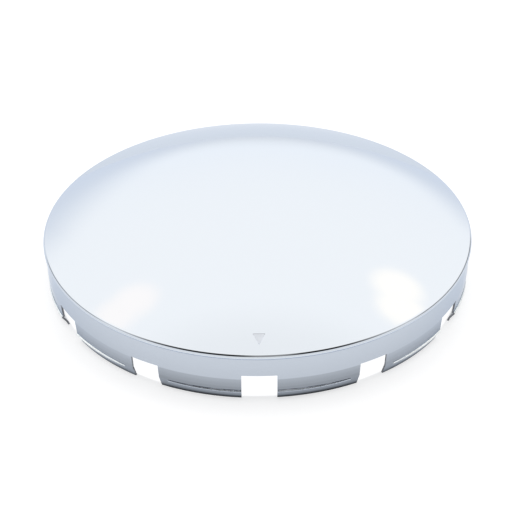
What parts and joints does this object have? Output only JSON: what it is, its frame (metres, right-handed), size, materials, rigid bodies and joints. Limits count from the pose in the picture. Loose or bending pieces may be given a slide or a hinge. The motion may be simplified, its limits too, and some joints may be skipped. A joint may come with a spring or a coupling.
{
  "type": "hub cap",
  "caption": "Shallow domed snap-in wheel hub cap pressed from one chrome-plated steel sheet, with a rolled rim, a plain band and notched spring tabs with pressed catches.",
  "frame": {"origin": "on the axis of the cap, in the plane of the tab ends that it stands on", "axes": "+Z along the axis towards the crown of the dome, -Y towards the deep notch under the index mark"},
  "size_m": [0.223, 0.223, 0.0513],
  "materials": {
    "chrome_plate": "mirror-polished chrome plating on pressed sheet steel"
  },
  "bodies": {
    "root": {"hub_cap": "chrome_plate"}
  },
  "joints": []
}
